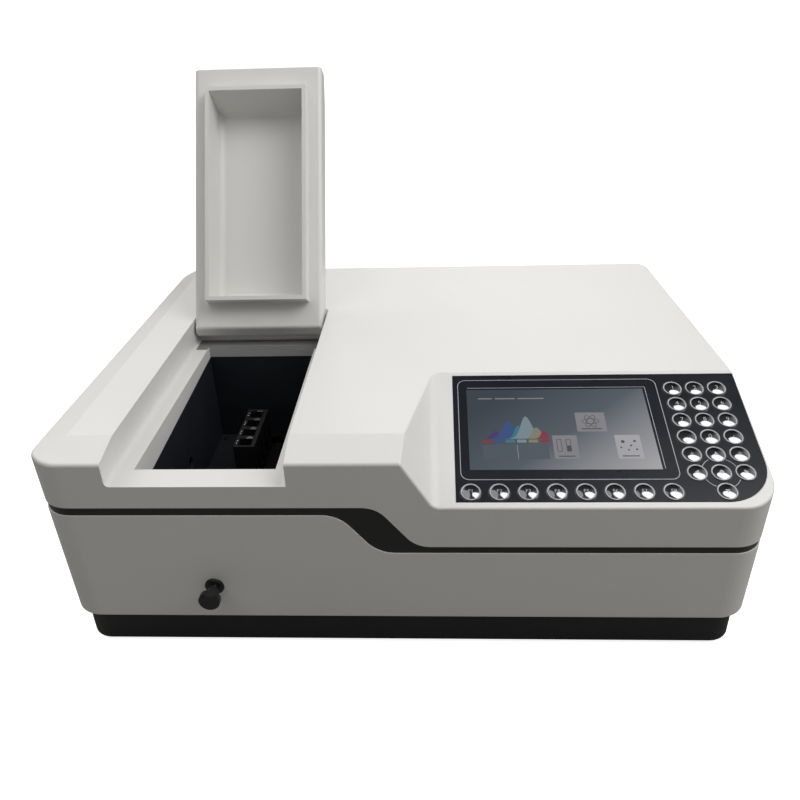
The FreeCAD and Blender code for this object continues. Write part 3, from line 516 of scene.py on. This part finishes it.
def make_keys():
    """Domed caps, each with a bright ring that laps over the edge of its hole in the film."""
    ring = [(KEY_RING_OUTER - inward, height) for inward, height in RING_OUTLINE]
    ring.append((KEY_DOME_RADIUS + GROOVE_WIDTH, KEY_DOME_LOW - GROOVE_DEPTH))
    dome = [(KEY_DOME_RADIUS * share, dome_height(KEY_DOME_RADIUS * share)) for share in DOME_SHARES]
    profile = KEY_STEM + ring + dome + [(0, dome_height(0))]
    bands = ([DOME_FACE] * len(KEY_STEM) + [RING_FACE] * (len(ring) - 1)
             + [DOME_FACE] * (len(dome) + 1))
    for name, words in zip(KEYS, LEGENDS):
        place = panel_place(*node_spot(name))
        mesh = bmesh.new()
        lathe(mesh, profile, place, bands=bands)
        add_legend(mesh, words, place)
        made = piece(f"{name}_dome", mesh, f"{name}_cap", (DOME, KEY_RING, PRINT_AND_HIGHLIGHT))
        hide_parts(name)


def make_bezels():
    """The raised round of clear film about each key, which catches a little more light than the rest and is
    also painted paler than the film as a painted sheen.
    """
    mesh = bmesh.new()
    for name in KEYS:
        lathe(mesh, BEZEL_OUTLINE, panel_place(*node_spot(name)))
    piece("key_bezels", mesh, "chassis", (BEZEL_PAINTED_SHEEN,))


# Printed lines on the film, and a painted highlight along the display window's edge

PRINT_SHEET = 0.03                      # how far the print stands off the film
FRAME_GAPS = (7.6, 12.4, 10.0, 11.2)    # from the display to the line round it: left, right, below, above
FRAME_RADIUS, FRAME_LINE = 7, 0.55
# A painted highlight along the display window's top and right edges: its width, where it starts and its
# corner
WINDOW_HIGHLIGHT = 0.45
WINDOW_HIGHLIGHT_STARTS = (0.6, 0.4)              # of the window's edge, in from the display's left and lower ends
WINDOW_HIGHLIGHT_CORNER = (2.4, 1.4)              # out from the display's upper right corner
ARROW_RING_SHARE = 0.81                 # of the distance between the middle key and the one above it
ARROW_RING_LINE = 0.5
ARROW_RING_GAPS = (26, 64)              # the degrees of each quarter between which the ring shows


def make_film_lines():
    """The rounded line round the display, a painted highlight along the top and right edges of its window,
    and the ring behind the arrow keys.
    """
    mesh = bmesh.new()
    low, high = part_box("lcd_glass")
    bottom, top = [(edge - FILM_FRONT) / MM for edge in panel_span("lcd_glass", RISE)]
    left, right = low.x / MM, high.x / MM
    flat = panel_place(0, 0)
    outer = (left - FRAME_GAPS[0], right + FRAME_GAPS[1], bottom - FRAME_GAPS[2], top + FRAME_GAPS[3])
    inner = (outer[0] + FRAME_LINE, outer[1] - FRAME_LINE, outer[2] + FRAME_LINE, outer[3] - FRAME_LINE)
    slab(mesh, rounded_loop(*outer, FRAME_RADIUS), flat, 0, PRINT_SHEET,
         rounded_loop(*inner, FRAME_RADIUS - FRAME_LINE))
    corner_x, corner_y = right + WINDOW_HIGHLIGHT_CORNER[0], top + WINDOW_HIGHLIGHT_CORNER[1]
    # painted highlight: a pale line along the window's top and right edges only
    for box in ((left + WINDOW_HIGHLIGHT_STARTS[0], corner_x, corner_y, corner_y + WINDOW_HIGHLIGHT),
                (corner_x - WINDOW_HIGHLIGHT, corner_x, bottom + WINDOW_HIGHLIGHT_STARTS[1], corner_y)):
        slab(mesh, rounded_loop(*box, WINDOW_HIGHLIGHT / 3, 2), flat, 0, PRINT_SHEET)
    middle, above = (node_spot(KEYS[LEGENDS.index(words)]) for words in ("dot", "up"))
    reach = ARROW_RING_SHARE * (above[1] - middle[1])
    centre = panel_place(*middle)
    for start in (0, 90, 180, 270):
        first, last = (start + gap for gap in ARROW_RING_GAPS)
        band = (arc_points(reach + ARROW_RING_LINE / 2, first, last, 12)
                + arc_points(reach - ARROW_RING_LINE / 2, last, first, 12))
        slab(mesh, band, centre, 0, PRINT_SHEET)
    piece("film_lines", mesh, "chassis", (PRINT_AND_HIGHLIGHT,))


# Display contents: plain tiles, a spectrum drawing and a few bars in place of words. Places are across and
# up from the display's lower left corner.

DISPLAY_SHEET = 0.02                    # a tile's thickness
ICON_SHEET = 0.035                      # of what is drawn on a tile
LINE_SHEET = 0.03                       # of blocks, dividers and title bars

SPECTRUM_COLOURS = ((0.075, 0.06, 0.17), (0.05, 0.10, 0.26), (0.05, 0.22, 0.28), (0.22, 0.30, 0.34),
                    (0.26, 0.25, 0.19), (0.26, 0.05, 0.075))
SPECTRUM_CORNER = (10.5, 31.5)
SPECTRUM_ENDS, SPECTRUM_STEPS = (2.0, 55.0), 60
# Each peak is its middle, its width and its height.
PEAKS = ((12, 5, 9), (23, 7, 19), (31, 4.5, 14), (38, 6.5, 24), (46, 5, 12), (52, 3.5, 9))
PEAK_FOOT = 0.05                        # so that a peak's tail keeps some height
PEAK_SHEET = 0.004                      # each peak lies that much higher than the one before it
PEAK_SHADE = 0.8                        # of a peak's colour, where it drifts darker
BLOCK_LEFT, BLOCK_BOTTOM, BLOCK_PITCH = 11.5, 27.5, 9.4
BLOCK_SIZE, BLOCK_RADIUS = (7.6, 3.2), 0.4
BLOCK_COLOURS = (5, 1, 2, 3, 4, 5)

# The materials of display_tiles; the last is a paler copy of the tile colour, painted glare on the lower
# right tile
PLAIN, DARK, MARK, PAINTED_GLARE_TILE = range(4)
TILES = ((90, 38.8, 24.5, 20.8, PLAIN), (68.5, 10.6, 20, 24.3, PLAIN), (119, 10.6, 20.5, 24.4, PAINTED_GLARE_TILE),
         (11.5, 10.6, 53, 14.8, DARK))
DIVIDER = (39.1, 10.6, 0.7, 14.8)
CUVETTE_SPOTS = ((73.5, 24.5), (81, 24.5))
CUVETTE_SIZE, CUVETTE_LINE, CUVETTE_FILL = (4, 13), 0.5, (79.6, 18.6, 2.8, 5.6)
ATOM_SPOT, ORBIT, ORBIT_LINE = (102, 50), (7.2, 3.0), 0.5
DOTS = ((125, 28, 1.5), (131, 24, 0.9), (134.5, 28.5, 1.1), (128.5, 19.5, 0.8), (122.8, 22, 0.8),
        (135, 20, 0.9))
CAPTIONS, CAPTION_HEIGHT = ((94, 41.3, 16.5), (72, 12.8, 13), (122.5, 12.8, 13.5)), 1.0
TITLE_BARS, TITLE_BOTTOM, TITLE_HEIGHT = ((9.5, 12.5), (24, 17.5), (43.5, 22.5)), 75.3, 1.3


def screen_place(x, y):
    """A spot on the display in millimetres from its lower left corner."""
    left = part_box("lcd_glass")[0].x / MM
    bottom = (panel_span("lcd_glass", RISE)[0] - FILM_FRONT) / MM
    face = (panel_span("lcd_glass", OUT)[1] - FILM_FACE) / MM
    return panel_place(left + x, bottom + y, face)


def tile(mesh, x, y, width, height, out=DISPLAY_SHEET, material=PLAIN, radius=0.6):
    """A thin plate with round corners, given by its lower left corner and its size."""
    half_wide, half_high = width / 2, height / 2
    loop = rounded_loop(-half_wide, half_wide, -half_high, half_high, radius, 3)
    slab(mesh, loop, screen_place(x + half_wide, y + half_high), 0, out, material=material)


def bell(x, middle, width, height):
    """The height of an absorption peak at x."""
    return height * math.exp(-(((x - middle) / width) ** 2))


def make_spectrum():
    """Overlapping absorption peaks, each a filled curve of its own colour, over a row of small blocks."""
    mesh = bmesh.new()
    start, end = SPECTRUM_ENDS
    tops = [start + (end - start) * step / SPECTRUM_STEPS for step in range(SPECTRUM_STEPS, -1, -1)]
    place = screen_place(*SPECTRUM_CORNER)
    for index, peak in enumerate(PEAKS):
        loop = [(start, 0), (end, 0)] + [(x, PEAK_FOOT + bell(x, *peak)) for x in tops]
        under = DISPLAY_SHEET + PEAK_SHEET * index
        slab(mesh, loop, place, under, under + PEAK_SHEET, material=index)
    for index, colour in enumerate(BLOCK_COLOURS):
        left = BLOCK_LEFT + BLOCK_PITCH * index
        tile(mesh, left, BLOCK_BOTTOM, *BLOCK_SIZE, LINE_SHEET, colour, BLOCK_RADIUS)
    colours = [on_display(f"spectrum_{index}", colour, tuple(PEAK_SHADE * part for part in colour))
               for index, colour in enumerate(SPECTRUM_COLOURS)]
    piece("display_spectrum", mesh, "chassis", colours)


def draw_cuvettes(mesh):
    """Two upright cells, one of them part full."""
    half_wide, half_high = CUVETTE_SIZE[0] / 2, CUVETTE_SIZE[1] / 2
    outer = rounded_loop(-half_wide, half_wide, -half_high, half_high, 0.8, 4)
    half_wide, half_high = half_wide - CUVETTE_LINE, half_high - CUVETTE_LINE
    inner = rounded_loop(-half_wide, half_wide, -half_high, half_high, 0.5, 4)
    for spot in CUVETTE_SPOTS:
        slab(mesh, outer, screen_place(*spot), 0, ICON_SHEET, inner, MARK)
    tile(mesh, *CUVETTE_FILL, ICON_SHEET, MARK, 0.4)


def draw_atom(mesh):
    """Three crossing orbits."""
    ellipses = [[(wide * x, high * y) for x, y in round_loop(1, 36)]
                for wide, high in (ORBIT, (ORBIT[0] - ORBIT_LINE, ORBIT[1] - ORBIT_LINE))]
    for turn in (0, 60, 120):
        spin = screen_place(*ATOM_SPOT) @ Matrix.Rotation(math.radians(turn), 4, "Z")
        slab(mesh, ellipses[0], spin, 0, ICON_SHEET, ellipses[1], MARK)


def make_tiles():
    """The plain menu tiles with their outlines and captions, and the bars of the title."""
    mesh = bmesh.new()
    for x, y, width, height, material in TILES:
        tile(mesh, x, y, width, height, material=material)
    tile(mesh, *DIVIDER, LINE_SHEET, PLAIN, 0.2)
    draw_cuvettes(mesh)
    draw_atom(mesh)
    for x, y, radius in DOTS:
        slab(mesh, round_loop(radius), screen_place(x, y), 0, ICON_SHEET, material=MARK)
    for x, y, width in CAPTIONS:
        tile(mesh, x, y, width, CAPTION_HEIGHT, ICON_SHEET, MARK, 0.3)
    for x, width in TITLE_BARS:
        tile(mesh, x, TITLE_BOTTOM, width, TITLE_HEIGHT, LINE_SHEET)
    piece("display_tiles", mesh, "chassis", (TILE, TILE_DARK, TILE_MARK, TILE_PAINTED_GLARE))


# Fasteners: each screw is its head's radius and height

REAR_SCREW, REAR_INSET = (2.8, 1.4), 6
TUB_SCREW, TUB_INSETS = (2.6, 1.5), (9, 12)
CLIP_SCREW = (0.9, 0.5)


def screw(mesh, spot, out, radius, rise):
    """A pan head with a cross recess, standing on a spot and facing out."""
    turn = Vector((0, 0, 1)).rotation_difference(out).to_matrix().to_4x4()
    place = Matrix.Translation(spot) @ turn @ Matrix.Scale(MM, 4)
    profile = [(0, 0), (radius * 0.96, 0), (radius, rise * 0.3), (radius * 0.93, rise * 0.62),
               (radius * 0.72, rise * 0.88), (radius * 0.45, rise), (radius * 0.30, rise),
               (radius * 0.26, rise * 0.35), (0, rise * 0.3)]
    lathe(mesh, profile, place, 32)
    arm, half = radius * 0.52, radius * 0.09
    cross = [(arm, -half), (arm, half), (half, half), (half, arm), (-half, arm), (-half, half), (-arm, half),
             (-arm, -half), (-half, -half), (-half, -arm), (half, -arm), (half, -half)]
    slab(mesh, cross, place, rise * 0.6, rise * 1.005, material=1)


def make_screws():
    """The screws at the rear plate's corners and in the tub's floor."""
    mesh = bmesh.new()
    low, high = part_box("rear_panel")
    for x in (low.x + REAR_INSET * MM, high.x - REAR_INSET * MM):
        for z in (low.z + REAR_INSET * MM, high.z - REAR_INSET * MM):
            screw(mesh, Vector((x, high.y, z)), Vector((0, 1, 0)), *REAR_SCREW)
    piece("rear_screws", mesh, "chassis", (BRIGHT_STEEL, BLACK_TRIM))
    mesh = bmesh.new()
    low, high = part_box("compartment_tub")
    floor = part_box("carriage_rails")[0].z
    for x in (low.x + TUB_INSETS[0] * MM, high.x - TUB_INSETS[0] * MM):
        for y in (low.y + TUB_INSETS[1] * MM, high.y - TUB_INSETS[1] * MM):
            screw(mesh, Vector((x, y, floor)), Vector((0, 0, 1)), *TUB_SCREW)
    piece("tub_screws", mesh, "chassis", (DARK_STEEL, BLACK_TRIM))


# Cell changer

CELLS = 4
CELL_SIDE = 12.6
CLIP_THICK, CLIP_GAP = 0.4, 0.1         # the gap is to the wall that the leaf lies on
CATCH_ASIDE = 2.6                       # from the cell's middle, across
CATCH_OUTLINE = [(-4, 0), (4, 0), (0.7, 3.2), (-0.7, 3.2)]
LEAF_OUTLINE = [(-3, -20), (3, -20), (3, 0), (-3, 0)]
PAIR_ASIDE, PAIR_PITCH = -8.0, 4.4      # of the two screws, across from the cell's middle and between them


def make_cell_clips():
    """Each cell's leaf spring with its catch over the wall, and a pair of small screws beside the cell."""
    low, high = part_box("cell_springs")
    cell_pitch = JOINTS["carriage_slide"]["range_m"][1] / (CELLS - 1)
    mesh = bmesh.new()
    for index in range(CELLS):
        wall = Vector(((low.x + high.x) / 2, low.y + (CLIP_THICK + CLIP_GAP) * MM + index * cell_pitch,
                       high.z - CLIP_THICK * MM))
        place = Matrix.Translation(wall + Vector((CATCH_ASIDE * MM, 0, 0))) @ Matrix.Scale(MM, 4)
        slab(mesh, CATCH_OUTLINE, place, 0, CLIP_THICK)
        upright = place @ Matrix.Rotation(math.radians(90), 4, "X")
        slab(mesh, LEAF_OUTLINE, upright, CLIP_GAP, CLIP_GAP + CLIP_THICK)
        for step in (-PAIR_PITCH / 2, PAIR_PITCH / 2):
            beside = Vector((PAIR_ASIDE, step - CELL_SIDE / 2, 0)) * MM
            screw(mesh, wall + beside, Vector((0, 0, 1)), *CLIP_SCREW)
    made = piece("cell_clips", mesh, "carriage", (BRIGHT_STEEL, BLACK_TRIM))
    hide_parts("cell_springs")


# Sample well

TUB_WALL = 2.5                          # the thickness of the tub's walls
LEDGE_DROP = 16.15                      # from the lid's hinge down to the ledge under its foot
SKIRT_DEPTH = 11                        # of the wall that hangs from the ledge into the well
SHADE_SHEET_THICK, SHADE_SHEET_AHEAD = 0.35, 6        # of the sheet of painted shade; its two ends reach ahead of the well's back wall
LINER_THICK, LINER_DEPTH, LINER_LAP = 0.4, 23.8, 0.3
STAND_OFF = 0.01                        # of a lining from the wall behind it
CLEARANCE = 0.05                        # between the liner and the sheet of painted shade


def make_painted_shade_sheet():
    """A grey sheet of painted shade on the ledge under the lid's foot, where the lid's shadow falls, with a
    paler lip of painted shade down the well's back wall.
    """
    tub_low, tub_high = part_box("compartment_tub")
    lid_low, lid_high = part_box("lid")
    hinge = Vector(JOINTS["lid_hinge"]["pos_m"])
    left, right = tub_low.x + TUB_WALL * MM, tub_high.x - TUB_WALL * MM
    back, ledge = tub_high.y - TUB_WALL * MM, hinge.z - LEDGE_DROP * MM
    thick, ahead = SHADE_SHEET_THICK * MM, SHADE_SHEET_AHEAD * MM
    mesh = bmesh.new()
    block(mesh, (lid_low.x, back - thick, ledge), (lid_high.x, hinge.y, ledge + thick))
    block(mesh, (lid_low.x, back - ahead, ledge), (left, back - thick, ledge + thick))
    block(mesh, (right, back - ahead, ledge), (lid_high.x, back - thick, ledge + thick))
    block(mesh, (left, back - thick, ledge - SKIRT_DEPTH * MM), (right, back - STAND_OFF * MM, ledge), 1)
    piece("painted_shade_sheet", mesh, "chassis", (PAINTED_SHADE, PAINTED_SHADE_LIP))


def make_well_liner():
    """The white lining of the well's left wall, which goes deeper towards the front."""
    low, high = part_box("compartment_tub")
    top = JOINTS["lid_hinge"]["pos_m"][2] - (LEDGE_DROP + CLEARANCE) * MM
    front, back = low.y + TUB_WALL * MM, high.y - (TUB_WALL + SHADE_SHEET_THICK + CLEARANCE) * MM
    deep, shallow = LINER_DEPTH * MM, (SKIRT_DEPTH + LINER_LAP) * MM
    outline = [(front, top - deep), (back, top - shallow), (back, top), (front, top)]
    side = Matrix(((0, 0, 1), (1, 0, 0), (0, 1, 0))).to_4x4()
    wall = Matrix.Translation((low.x + TUB_WALL * MM, 0, 0)) @ side
    mesh = bmesh.new()
    slab(mesh, outline, wall, STAND_OFF * MM, LINER_THICK * MM)
    piece("well_liner", mesh, "chassis", (WHITE,))


# Studio, in metres, degrees and watts

CAMERA_SPOT = Vector((0.0260, -0.6742, 0.4940))
CAMERA_YAW, CAMERA_PITCH, CAMERA_ROLL = -2.923, 28.667, -1.848
CAMERA_LENS, CAMERA_SENSOR = 33.794, 36     # in millimetres
FLOOR_HALF_SIDE = 40
# What the camera sees of the floor, and the grey, slightly warm floor that lights the case.
FLOOR_WHITE, FLOOR_GLOW = (0.90, 0.90, 0.90, 1), 0.86
FLOOR_BOUNCE = (0.26, 0.253, 0.240, 1)
BACKDROP = 1.1
ROOM_TINT, ROOM_LIGHT = (1.0, 0.997, 0.988, 1), 0.004
# Each sky light is a direction, the angles where it is full and where it has faded out, and a strength.
SKY_LIGHTS = (
    ((0.05, 0.0, 1), 10, 60, 0.11),
    ((0.0, -0.75, 0.66), 10, 45, 0.33),
    ((0.8, 0.0, 0.6), 10, 40, 0.50),
    ((-0.66, 0.54, 0.52), 8, 32, 2.06),
    ((0.86, 0.42, 0.30), 8, 30, 1.02),
    ((0.0, 0.96, 0.28), 8, 26, 1.42),
)
SOFTBOX_TINT = (1, 0.995, 0.985)
# Each softbox is an ellipse: its name, its place, what it faces, its width and height, and its power.
SOFTBOXES = (
    ("key_softbox", (0.90, -0.25, 1.46), (0.2, -0.1, 0.15), (0.74, 1.46), 12.4),
    ("fill_softbox", (-0.90, -0.20, 1.9), (0, 0, 0.1), (2.1, 2.1), 10.9),
)


def make_camera():
    """The camera: its yaw turns it towards +X, its pitch looks down and its roll lifts its right side."""
    yaw, pitch, roll = (math.radians(angle) for angle in (CAMERA_YAW, CAMERA_PITCH, CAMERA_ROLL))
    ahead = Vector((math.sin(yaw) * math.cos(pitch), math.cos(yaw) * math.cos(pitch), -math.sin(pitch)))
    level = Vector((math.cos(yaw), -math.sin(yaw), 0))
    above = level.cross(ahead)
    right = level * math.cos(roll) + above * math.sin(roll)
    over = above * math.cos(roll) - level * math.sin(roll)
    data = bpy.data.cameras.new("camera")
    data.lens = CAMERA_LENS
    data.sensor_width = CAMERA_SENSOR
    data.clip_start = 0.01
    camera = bpy.data.objects.new("camera", data)
    turn = Matrix((right, over, -ahead)).transposed().to_4x4()
    camera.matrix_world = Matrix.Translation(CAMERA_SPOT) @ turn
    bpy.context.scene.collection.objects.link(camera)
    bpy.context.scene.camera = camera


def make_floor():
    """A plain floor that is white to the camera, and lights the case as a mid-grey bench top would."""
    mesh = bmesh.new()
    bmesh.ops.create_grid(mesh, x_segments=4, y_segments=4, size=FLOOR_HALF_SIDE)
    data = bpy.data.meshes.new("floor")
    mesh.to_mesh(data)
    mesh.free()
    floor = bpy.data.objects.new("floor", data)
    bpy.context.scene.collection.objects.link(floor)
    floor.location.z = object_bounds()[0].z
    material = bpy.data.materials.new("floor")
    material.use_nodes = True
    tree = material.node_tree
    tree.nodes.clear()
    seen = add_node(tree, "ShaderNodeBsdfDiffuse", Color=FLOOR_WHITE)
    glow = add_node(tree, "ShaderNodeEmission", Color=(1, 1, 1, 1), Strength=FLOOR_GLOW)
    both = add_node(tree, "ShaderNodeAddShader")
    bounce = add_node(tree, "ShaderNodeBsdfDiffuse", Color=FLOOR_BOUNCE)
    path = add_node(tree, "ShaderNodeLightPath")
    mix = add_node(tree, "ShaderNodeMixShader")
    result = add_node(tree, "ShaderNodeOutputMaterial")
    tree.links.new(seen.outputs[0], both.inputs[0])
    tree.links.new(glow.outputs[0], both.inputs[1])
    tree.links.new(path.outputs["Is Camera Ray"], mix.inputs["Fac"])
    tree.links.new(bounce.outputs[0], mix.inputs[1])
    tree.links.new(both.outputs[0], mix.inputs[2])
    tree.links.new(mix.outputs[0], result.inputs["Surface"])
    data.materials.append(material)


def sky_patch(tree, direction, inner, outer, strength):
    """A soft round patch of light about a direction; inner and outer are its angles in degrees."""
    place = add_node(tree, "ShaderNodeTexCoord")
    dot = add_node(tree, "ShaderNodeVectorMath", operation="DOT_PRODUCT")
    dot.inputs[1].default_value = Vector(direction).normalized()
    fade = add_node(tree, "ShaderNodeMapRange", interpolation_type="SMOOTHSTEP",
                    From_Min=math.cos(math.radians(outer)), From_Max=math.cos(math.radians(inner)),
                    To_Min=0.0, To_Max=strength)
    tree.links.new(place.outputs["Generated"], dot.inputs[0])
    tree.links.new(dot.outputs["Value"], fade.inputs["Value"])
    return fade.outputs["Result"]


def make_sky():
    """A dim room with broad soft lights in it; the camera sees plain white behind the floor."""
    world = bpy.data.worlds.new("studio")
    bpy.context.scene.world = world
    world.use_nodes = True
    tree = world.node_tree
    tree.nodes.clear()
    strength = None
    for patch in SKY_LIGHTS:
        total = add_node(tree, "ShaderNodeMath", operation="ADD")
        total.inputs[1].default_value = ROOM_LIGHT
        if strength:
            tree.links.new(strength, total.inputs[1])
        tree.links.new(sky_patch(tree, *patch), total.inputs[0])
        strength = total.outputs[0]
    lit = add_node(tree, "ShaderNodeBackground", Color=ROOM_TINT)
    backdrop = add_node(tree, "ShaderNodeBackground", Color=(1, 1, 1, 1), Strength=BACKDROP)
    path = add_node(tree, "ShaderNodeLightPath")
    mix = add_node(tree, "ShaderNodeMixShader")
    result = add_node(tree, "ShaderNodeOutputWorld")
    tree.links.new(strength, lit.inputs["Strength"])
    tree.links.new(path.outputs["Is Camera Ray"], mix.inputs["Fac"])
    tree.links.new(lit.outputs[0], mix.inputs[1])
    tree.links.new(backdrop.outputs[0], mix.inputs[2])
    tree.links.new(mix.outputs[0], result.inputs["Surface"])


def make_softbox(name, spot, aim, size, watts):
    """A soft elliptical light that faces what it is aimed at."""
    data = bpy.data.lights.new(name, "AREA")
    data.shape = "ELLIPSE"
    data.size, data.size_y = size
    data.energy = watts
    data.color = SOFTBOX_TINT
    light = bpy.data.objects.new(name, data)
    light.location = spot
    light.rotation_euler = (Vector(aim) - Vector(spot)).to_track_quat("-Z", "Y").to_euler()
    bpy.context.scene.collection.objects.link(light)


def make_studio():
    """The camera, the floor, the sky and the softboxes."""
    make_camera()
    make_floor()
    make_sky()
    for softbox in SOFTBOXES:
        make_softbox(*softbox)
    bpy.context.scene.view_settings.view_transform = "Standard"


make_studio()
dress_nodes()
make_keys()
make_bezels()
make_film_lines()
make_spectrum()
make_tiles()
make_screws()
make_cell_clips()
make_painted_shade_sheet()
make_well_liner()
